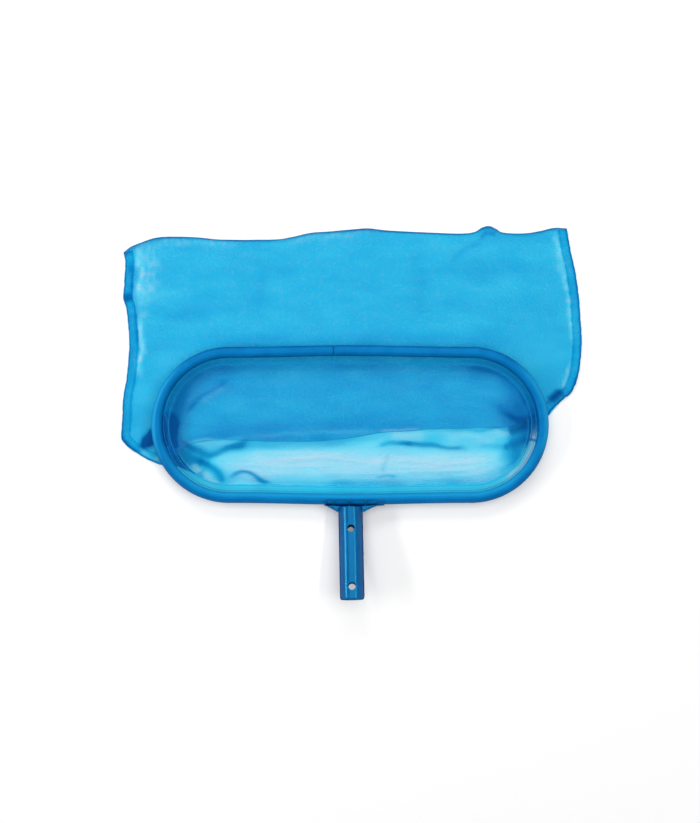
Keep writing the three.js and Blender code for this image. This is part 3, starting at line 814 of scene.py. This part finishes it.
LOWER_CREASES = [
    ([(179, 437), (187, 444), (195, 449), (205, 452.5), (216, 453), (227, 450), (238, 445),
      (250, 440)], 3.4, 0.62, 0, 1.0),
    ([(186, 449), (198, 457), (214, 460)], 5, 0.25),
    ([(190, 446), (215, 447), (240, 446), (300, 444), (360, 443)], 4.5, 0.3),
    ([(196, 474), (206, 482), (222, 488)], 9, 0.35),
    ([(196, 444), (212, 446), (232, 442.5)], 3, 0, 0.05),
    ([(196, 459), (211, 466), (219, 473), (226, 481)], 3.6, 0.5, -0.08, 1.2),
    ([(230, 476), (243, 473.5), (253, 475), (262, 480), (270, 482.5)], 2.4, 0.6, -0.08, 1.2),
    ([(244, 440), (262, 439), (300, 439), (345, 439), (380, 437)], 2.8, 0.2, 0, 0.6),
    ([(377, 446), (393, 442.5), (413, 446)], 2, 0.4, 0, 0.9),
    ([(401, 442.5), (425, 445), (445, 446), (466, 449)], 2.2, 0.5, 0, 1.0),
    ([(478, 444), (494, 447), (512, 449)], 3.6, 0.16, 0, 0.6),
    ([(502, 447), (515, 443.5), (528, 439)], 4, 0.35, 0, 0.7),
    ([(508, 431), (519, 427), (530, 422)], 6, 0.9),
    ([(506, 439), (520, 436), (532, 433)], 6, 0.32),
    ([(510, 447), (520, 444), (530, 440)], 5, 0.25),
    ([(500, 452), (512, 456), (520, 466)], 10, 0.2),
    ([(388, 453), (384, 462), (382, 473)], 1.6, 0.28, 0, 0.7),
    ([(376, 478.5), (386, 476.5), (396, 478)], 1.4, 0.3, 0, 0.5),
    ([(262, 463), (320, 460), (372, 464)], 1.2, 0.14, 0, 0.3),
    ([(400, 462), (440, 465), (480, 463)], 1.2, 0.16, 0, 0.4),
    ([(405, 472), (440, 474), (478, 471)], 1.6, 0.14, 0, 0.3),
    # painted highlight patches in the pale zone's lower left
    ([(193, 464), (199, 473)], 3.6, -0.5, 0.1),
    ([(203, 472), (211, 479), (220, 486)], 4.4, -0.45, 0.12),
    ([(232, 484), (248, 485.5), (266, 486)], 3.6, -0.3, 0.08),
    ([(166, 448), (178, 463), (191, 472)], 9, 0.1),
    ([(512, 446), (517, 462), (505, 480)], 10, 0.25),
    ([(178, 447), (190, 458), (204, 462)], 8, 0.35),
    ([(240, 486), (340, 486), (460, 486), (495, 481)], 4, 0.22),
    # painted highlight: the strip just under the fold
    ([(388, 434), (405, 436), (425, 436)], 4.5, -0.15, 0.1),
    ([(445, 436), (470, 438), (496, 440)], 5.5, -0.1, 0.07),
    ([(494, 434), (512, 432)], 3, -0.1, 0.09),
    ([(424, 430.5), (470, 430), (512, 430)], 2.2, 0.3),
    ([(385, 442), (440, 441), (512, 442)], 7, 0.15),
]
PALE_STRETCH = [(200, 465), (250, 464), (300, 459), (350, 461), (400, 462), (440, 462), (520, 463)]
PALE_ABOVE = 10.5  # half widths in pixels of that stretch, where the lower layer is drawn tight
PALE_BELOW = 17
PALE_ENDS = (206, 262, 468, 516)  # where it starts, is full, is full still and ends, in pixels
PALE_GATHER = 0.08
# painted highlight over the pale stretch
PALE_GLEAM = 0.24

COLUMNS = 280
HEM_ROWS = 4
HANGING_ROWS = 46
TURN_ROWS = 7
UPPER_ROWS = 120
LOWER_ROWS = 165
FOLD_START = 3 * MM  # from the hem to the fold line's two ends
FILL_ROUNDS = 700
BORDER_POINTS = 160  # on each of the lying bag's three sides

LYING_LEVEL = 1.1 * MM  # the lower layer's
LEAST_LEVEL = 0.3 * MM
EDGE_GAP = 0.5 * MM  # between the layers
FULL_GAP = 4.2 * MM
GAP_REACH = 45 * MM  # from the edge to where the gap is full
LEAST_BILLOW = 0.3
PANEL_LIFT = 1.5 * MM  # of the hanging panel over the upper layer
BESIDE_SEAM = 0.3 * MM  # of each layer from the middle of the sewn band
INTO_HOOP = 10 * MM  # where the bands have let go of the layers
NEAR_RISE = (24 * MM, 2.1)  # reach and power of the net's rise to the hem
FAR_RISE = (15 * MM, 2.2)
UNDER_TUBE = 8 * MM  # how far to each side of its axis the tube holds the cloth down
TUBE_PLAY = 1.0 * MM
LAYERS_APART = 0.9 * MM  # the least, under the hoop
SLOPE_OUTSIDE, SLOPE_INSIDE = 0.9, 0.72  # of what holds the cloth down, further away
HELD_ROUNDING = 0.8 * MM

LYING_WAVES = ((0.45 * MM, 90 * MM, 11), (0.25 * MM, 28 * MM, 12))
BILLOW_WAVES = ((0.25, 120 * MM, 21), (0.12, 35 * MM, 22))
PANEL_WAVES = ((0.3 * MM, 60 * MM, 31),)
STREAKS = ((0.025, 45 * MM, 51, (3, 1)), (0.015, 12 * MM, 52, (5, 1)))
MOTTLES = ((0.8, 9 * MM, 53, (1, 1.7)),)

PANEL_GATHER = 0.68  # as a share of the lying layers'
EDGE_GATHER = 1.3  # added along the lying bag's border
FAR_FOLD_GATHER, CLOSED_END_GATHER, TAPED_GATHER = 1.1, 2.0, 0.3
SHARED_GATHER = 0.6  # of the upper layer's creases in the lower one


def fill(bottom, top, left, right):
    """Rows of places spread smoothly inside four edges, from the bottom edge to the top one."""
    v = np.linspace(0, 1, len(left))[:, None, None]
    u = np.linspace(0, 1, len(bottom))[None, :, None]
    sides = (1 - u) * left[:, None] + u * right[:, None]
    ends = (1 - v) * bottom[None] + v * top[None]
    low, high = (1 - u) * bottom[0] + u * bottom[-1], (1 - u) * top[0] + u * top[-1]
    p = sides + ends - ((1 - v) * low + v * high)
    for _ in range(FILL_ROUNDS):
        p[1:-1, 1:-1] = 0.25 * (p[:-2, 1:-1] + p[2:, 1:-1] + p[1:-1, :-2] + p[1:-1, 2:])
    return p


def under_hoop(xy):
    """The highest that cloth can lie under the tube and the hem."""
    inward = inside_hoop(xy)
    slope = np.where(inward < 0, SLOPE_OUTSIDE, SLOPE_INSIDE)
    beyond = np.maximum(np.abs(inward) - UNDER_TUBE, 0)
    return HOOP_LEVEL - TUBE_RADIUS - TUBE_PLAY + beyond * slope


def lower(height, ceiling):
    """The lesser of two heights, rounded where they meet."""
    difference = height - ceiling
    return ceiling + 0.5 * (difference - np.sqrt(difference**2 + HELD_ROUNDING**2))


def rise(xy, hem, reach, power):
    """1 at the hem's edge, falling to 0 a reach away from it."""
    return np.clip(1 - distance_to(xy, hem) / reach, 0, 1) ** power


def lower_layer_height(xy, hem_near):
    """The lower layer's own height: low waves on the floor, and its rise to the hem."""
    rest = np.maximum(LYING_LEVEL + rippled(xy, LYING_WAVES), LEAST_LEVEL)
    rest += added(xy, LOWER_CREASES, "height")
    return rest + (NET_EDGE_LEVEL - rest) * rise(xy, hem_near, *NEAR_RISE)


def drawn_tight(xy):
    """How much of the pale stretch of the lower layer each place has, from 0 to 1."""
    x, y = xy[..., 0], xy[..., 1]
    middle = smooth_line(on_photo(PALE_STRETCH), 60)
    beyond = y - np.interp(x, middle[:, 0], middle[:, 1])
    width = np.where(beyond > 0, PALE_ABOVE, PALE_BELOW) * PHOTO_SCALE
    start, full, last, end = (on_photo((pixel, 0))[0] for pixel in PALE_ENDS)
    return bell(beyond, width) * step(x, start, full) * (1 - step(x, last, end))


def half_turn(before, after):
    """The rows between two parts of the sheet whose edges lie above each other."""
    way = before[-1, :, :2] - before[-2, :, :2]
    way /= np.maximum(np.linalg.norm(way, axis=-1, keepdims=True), 1e-9)
    middle, half = (before[-1] + after[0]) / 2, (before[-1, :, 2:] - after[0, :, 2:]) / 2
    angle = np.linspace(0, np.pi, TURN_ROWS + 2)[1:-1, None, None]
    xy = middle[:, :2] + way * np.abs(half) * np.sin(angle)
    return np.concatenate([xy, middle[:, 2:] + half * np.cos(angle)], axis=-1)


def under_tape(at, insets):
    """The net's edge, flat under the hem."""
    xy = np.stack([beside_hoop(at, inset) for inset in insets])
    return raised(xy, np.full(xy.shape[:2], NET_EDGE_LEVEL))


def net_bag():
    """The bag as one sheet of rows of points, with its gather and its gleam, a painted highlight."""
    # Edges: the hem's two halves, the fold line, the closed end and the two sides
    far = np.linspace(SEAM_LEFT_AT, SEAM_RIGHT_AT - HOOP_LOOP, COLUMNS)
    near = np.linspace(SEAM_LEFT_AT, SEAM_RIGHT_AT, COLUMNS)
    hem_far, hem_near = beside_hoop(far, HEM_INSET), beside_hoop(near, HEM_INSET)
    ends = beside_hoop([SEAM_LEFT_AT, SEAM_RIGHT_AT], HEM_INSET + FOLD_START)
    fold = smooth_line([ends[0], *on_photo(FOLD_LINE), ends[1]], COLUMNS)
    left, top, right = on_photo(LEFT_EDGE), on_photo(TOP_EDGE), on_photo(RIGHT_EDGE)
    edges = (left, top, right[::-1])
    border = np.concatenate([smooth_line(edge, BORDER_POINTS) for edge in edges])
    top = smooth_line(top, COLUMNS)

    def filled(first, rows):
        """Rows of places from one edge inside the hoop out to the closed end."""
        sides = (smooth_line([first[k], *edge], rows) for k, edge in ((0, left), (-1, right)))
        return fill(first, top, *sides)

    # Places, as seen from above
    share = np.linspace(0, 1, HANGING_ROWS)[:, None, None]
    hanging_xy = (1 - share) * hem_far + share * fold
    upper_xy = filled(fold, UPPER_ROWS)
    lower_xy = filled(hem_near, LOWER_ROWS)[::-1]

    def lower_height(xy):
        return lower(lower_layer_height(xy, hem_near), under_hoop(xy) - LAYERS_APART)

    def upper_height(xy):
        gap = EDGE_GAP + FULL_GAP * step(distance_to(xy, border), 0, GAP_REACH)
        billow = np.maximum(1 + rippled(xy, BILLOW_WAVES), LEAST_BILLOW)
        height = lower_height(xy) + gap * billow
        return lower(height + added(xy, UPPER_CREASES, "height"), under_hoop(xy))

    def into_seam(xy, z, level):
        """Near the two sides the layers come together inside the sewn band."""
        from_side = np.minimum(distance_to(xy, left), distance_to(xy, right))
        inside = np.clip(inside_hoop(xy) / INTO_HOOP, 0, 1)
        close = (1 - step(from_side, SEAM_WIDTH, 1.8 * SEAM_WIDTH)) * (1 - inside)
        return z + (level - z) * close

    # Heights
    rest = upper_height(hanging_xy) + PANEL_LIFT + rippled(hanging_xy, PANEL_WAVES)
    rest += added(hanging_xy, PANEL_CREASES, "height")
    rest += (NET_EDGE_LEVEL - rest) * rise(hanging_xy, hem_far, *FAR_RISE)
    hanging = raised(hanging_xy, rest)
    upper_z = into_seam(upper_xy, upper_height(upper_xy), SEAM_LEVEL + BESIDE_SEAM)
    upper = raised(upper_xy, upper_z)
    lower_z = lower_height(lower_xy)
    lower_z[-1] = NET_EDGE_LEVEL
    bottom = raised(lower_xy, into_seam(lower_xy, lower_z, SEAM_LEVEL - BESIDE_SEAM))

    insets = np.linspace(HEM_INSET - NET_UNDER_HEM, HEM_INSET - 0.5 * MM, HEM_ROWS)
    parts = [
        under_tape(far, insets),
        hanging,
        half_turn(hanging, upper),
        upper,
        half_turn(upper, bottom),
        bottom,
        under_tape(near, insets[::-1]),
    ]
    points = np.concatenate(parts)
    along = lengths_along(points[:, COLUMNS // 2])
    uv = np.stack(np.meshgrid(np.linspace(0, NET_FLAT[0], COLUMNS), along), axis=-1)
    made = grid("net_bag", points, uv)

    # Gather, and gleam, which is painted highlight
    panel_gather = PANEL_GATHER + added(hanging_xy, PANEL_CREASES, "gather")
    panel_gather += rippled(hanging_xy, STREAKS)
    upper_gather = 1.0 + added(upper_xy, UPPER_CREASES, "gather") + rippled(upper_xy, STREAKS)
    upper_gather += EDGE_GATHER * bell(distance_to(upper_xy, border), 1.0 * MM)
    # patches in the upper layer's painted highlight
    mottled = np.clip(1 + rippled(upper_xy, MOTTLES), 0, 3)
    streaks = rippled(lower_xy, STREAKS)
    pale = drawn_tight(lower_xy) * (1 + 2 * streaks)
    lower_gather = 1.0 - PALE_GATHER * pale + added(lower_xy, LOWER_CREASES, "gather") + streaks
    lower_gather += SHARED_GATHER * added(lower_xy, UPPER_CREASES, "gather")
    tones = [
        (TAPED_GATHER, 0),
        (panel_gather, added(hanging_xy, PANEL_CREASES, "gleam")),
        (FAR_FOLD_GATHER, 0),
        (upper_gather, added(upper_xy, UPPER_CREASES, "gleam") * mottled),
        (CLOSED_END_GATHER, 0),
        (lower_gather, PALE_GLEAM * pale + added(lower_xy, LOWER_CREASES, "gleam")),
        (TAPED_GATHER, 0),
    ]
    gather, gleam = (
        np.concatenate([np.broadcast_to(t[k], p.shape[:2]) for t, p in zip(tones, parts)])
        for k in (0, 1)
    )
    set_cloth(made, gather, gleam + NET_GLEAM)
    return finished(made, NET_LOOK, "net_mesh", "net_back_layer", "net_front_layer")


def seam(side, edge, at):
    """The sewn band along one side: net folded over itself, a little puckered by its stitches."""
    start = beside_hoop([at], HEM_INSET - 2 * MM)[0]
    line = smooth_line([start, *on_photo(edge)], SEAM_STEPS)
    way = np.gradient(line, axis=0)
    way /= np.linalg.norm(way, axis=1, keepdims=True)
    inward = np.stack([way[:, 1], -way[:, 0]], axis=-1) * (-1 if side == "right" else 1)
    section = band_section(SEAM_PROFILE, 0, SEAM_THICKNESS)
    s = np.linspace(0, SEAM_LENGTH, len(line))[:, None]
    pucker = puckers(s, SEAM_PUCKERS, SEAM_SEEDS[side])
    across = section[:, 0] + pucker * SEAM_WAVE
    xy = line[:, None] + inward[:, None] * across[..., None]
    z = SEAM_LEVEL + pucker * SEAM_SWELL + section[:, 1]
    made = swept(f"seam_band_{side}", xy, z, s, section)
    outer = bell(section[:, 0] - 0.1 * MM, 0.6 * MM)
    inner = bell(SEAM_WIDTH - 1.4 * MM - section[:, 0], 1.2 * MM)
    gather = SEAM_GATHER + 1.3 * outer + (0.12 + 0.2 * step(s, 0.05, 0.12)) * inner
    gather = gather * (0.3 + 0.7 * step(s, 0.012, 0.03)) + added(xy, SEAM_CREASES, "gather")
    set_cloth(made, gather * (1 + 0.1 * pucker), 0)
    return finished(made, SEAM_LOOK, "seam_tape", f"side_seam_{side}")


# Handle socket and fittings


def handle_socket():
    """The moulding with softened edges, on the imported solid's own shape."""
    solid = frame["nodes"]["handle_socket"]
    made = linked("socket_moulding", solid.data.copy())
    made.matrix_world = solid.matrix_world
    remesh = made.modifiers.new("even", "REMESH")
    remesh.mode = "VOXEL"
    remesh.voxel_size = VOXEL
    remesh.use_smooth_shade = True
    soften = made.modifiers.new("soften", "SMOOTH")
    soften.factor = 0.5
    soften.iterations = 4
    graph = bpy.context.evaluated_depsgraph_get()
    data = bpy.data.meshes.new_from_object(made.evaluated_get(graph))
    made.modifiers.clear()
    made.data = data
    data.shade_smooth()
    at = points_of(made)
    taper_wings(at)
    round_end(at)
    data.vertices.foreach_set("co", at.ravel())
    # paints shade low in the saddle's pockets
    set_points(made, "pocket_shade", shade_in_pockets(at))
    return finished(made, SOCKET_LOOK, "socket_plastic", "handle_socket")


def round_end(at):
    """The handle's outer rim at its open end is rounded."""
    end = at[:, 1].min()
    last = at[:, 1] < end + 6 * MM
    middle = (at[last].min(axis=0) + at[last].max(axis=0)) / 2
    out = at[:, ::2] - middle[::2]
    radius = np.linalg.norm(out, axis=1)
    thick = step(radius, 0.8 * radius[last].max(), radius[last].max())
    less = RIM_ROUNDING * thick * (1 - step(at[:, 1], end, end + RIM_REACH)) ** 2
    at[:, ::2] -= out * (less / radius)[:, None]


def taper_wings(at):
    """The saddle's two ends run out towards the tube that they hold."""
    aside = np.abs(at[:, 0] - HOOP_X)
    axis = np.stack([HOOP_Y - END_RADIUS - bow_at(aside), np.full(len(at), HOOP_LEVEL)], axis=-1)
    out = at[:, 1:] - axis
    far = np.maximum(np.linalg.norm(out, axis=1), 1e-9)
    least = TUBE_RADIUS + 0.5 * MM
    kept = 1 - WING_LOSS * step(aside, *WING_TAPER)
    shrunk = np.where(far > least, least + (far - least) * kept, far)
    at[:, 1:] = axis + out * (shrunk / far)[:, None]


def shade_in_pockets(at):
    """Painted shade: 1 low down in the saddle's open pockets, 0 elsewhere."""
    x = at[:, 0] - HOOP_X
    outward = HOOP_Y - END_RADIUS - bow_at(x) - at[:, 1]
    above = at[:, 2] - HOOP_LEVEL
    low, high = POCKETS_OUTWARD
    inside = (outward > low) & (outward < high) & (above > POCKETS_FLOOR)
    inside &= np.abs(x - POCKETS_MIDDLE) < POCKETS_HALF
    return inside * (1 - step(above, *POCKETS_SHADE))


def bead_cord():
    start = JOINER_LENGTH / 2 + CORD_END_PLAY
    section = arc(BORE_RADIUS - CORD_PLAY, 0, 360 - 360 / CORD_POINTS, CORD_POINTS)
    made = along_hoop("bead_cord", section, start, HOOP_LOOP - start, CORD_STEPS)
    return finished(made, CORD_LOOK, "bead_cord", "hem_cord")


def saddle_screw(side):
    """A pan-head screw, its head down."""
    node = f"saddle_screw_{side}"
    low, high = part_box(node)
    x, y = (low[0] + high[0]) / 2, (low[1] + high[1]) / 2
    head, seat = (high[0] - low[0]) / 2, low[2] + SCREW_HEAD
    profile = [
        (head * math.sin(a), seat - SCREW_HEAD * math.cos(a))
        for a in map(math.radians, SCREW_DOME)
    ]
    profile += [(head, seat), (SCREW_RADIUS, seat)]
    for k in range(int((high[2] - seat - SCREW_THREAD_END) / SCREW_RIDGE)):
        profile.append((SCREW_RADIUS * (1 if k % 2 else SCREW_CORE), seat + (k + 1) * SCREW_RIDGE))
    profile.append((SCREW_RADIUS * SCREW_CORE, high[2] - SCREW_POINT))
    turn = [2 * math.pi * k / SCREW_SIDES for k in range(SCREW_SIDES)]
    rings = [[(x + r * math.cos(a), y + r * math.sin(a), z) for a in turn] for r, z in profile]
    bm = bmesh.new()
    skin(bm, rings, tips=((x, y, low[2]), (x, y, high[2])))
    return finished(new_object(f"screw_{side}", bm), STEEL_LOOK, "screw_steel", node)


def dress_joiner():
    """The rigid dowel inside the tube stays as it was packed."""
    data = frame["nodes"]["rim_joiner"].data
    data.materials.clear()
    data.materials.append(JOINER_LOOK)


# Room

FLOOR = 6  # half its side
FLOOR_COLOUR = rgb(0.62, 0.62, 0.62)  # as the net is lit by it
SHADOW_REACH = (0.4, 0.8)  # where the shadow starts to fade from what is seen, and is gone
WORLD_LIGHT = 0.2


def floor():
    """Its seen side is white, with the net's shadow near the middle; what it lights is greyer."""
    bm = bmesh.new()
    corners = ((-FLOOR, -FLOOR), (FLOOR, -FLOOR), (FLOOR, FLOOR), (-FLOOR, FLOOR))
    bm.faces.new([bm.verts.new((x, y, 0)) for x, y in corners])
    made = new_object("floor", bm, closed=False)
    made.location.z = -0.1 * MM
    look = Look("floor")
    paper, backdrop = (look.put("BsdfDiffuse", {"Color": c}) for c in (FLOOR_COLOUR, WHITE))
    away = look.node("VectorMath", {0: look.place()}, operation="LENGTH").outputs["Value"]
    white = look.put("Emission", {"Strength": 1.0})
    shown = look.mix(look.between(away, *SHADOW_REACH), backdrop, white)
    made.data.materials.append(look.finish(look.mix(look.seen(), paper, shown)))


def lamp(name, lean, turn, distance, size, power):
    """A softbox aimed at the net: lean is in degrees from straight up, turn in degrees round it."""
    data = bpy.data.lights.new(name, "AREA")
    data.shape = "RECTANGLE"
    data.size, data.size_y = size
    data.energy = power
    made = linked(name, data)
    a, t = math.radians(lean), math.radians(turn)
    way = Vector((math.sin(a) * math.cos(t), math.sin(a) * math.sin(t), math.cos(a)))
    made.location = Vector((HOOP_X, HOOP_Y + 50 * MM, 0)) + way * distance
    made.rotation_euler = way.to_track_quat("Z", "Y").to_euler()


def world():
    """White where it is seen, and a little light all round."""
    look = Look("studio", "World")
    light, white = (
        look.put("Background", {"Color": WHITE, "Strength": s}) for s in (WORLD_LIGHT, 1.0)
    )
    bpy.context.scene.world = look.finish(look.mix(look.seen(), light, white))


def camera():
    data = bpy.data.cameras.new("camera")
    data.sensor_width = SENSOR
    data.lens = SENSOR * CAMERA_DISTANCE / (PHOTO_HEIGHT * PICTURE_SCALE)
    made = linked("camera", data)
    made.location = (*on_photo(PHOTO_MIDDLE), HOOP_LEVEL + CAMERA_DISTANCE)
    bpy.context.scene.camera = made


camera()
floor()
world()
lamp("softbox_above", 0, 0, 2.2, (2.2, 2.2), 26.5)
lamp("softbox_left", 58, 180, 2.0, (1.6, 0.2), 14)
lamp("softbox_right", 35, 0, 2.0, (1.6, 0.16), 8)
lamp("softbox_far", 50, 95, 1.7, (1.8, 0.5), 10.5)
bpy.context.scene.view_settings.view_transform = "Standard"
# Light passes up to six layers of cloth each way
bpy.context.scene.cycles.transparent_max_bounces = 32

hoop_tube()
hem = hem_band()
stitches = hem_stitches()
net = net_bag()
seams = [
    seam("left", LEFT_EDGE, SEAM_LEFT_AT),
    seam("right", RIGHT_EDGE, SEAM_RIGHT_AT),
]
handle_socket()
bead_cord()
saddle_screw("left")
saddle_screw("right")
dress_joiner()
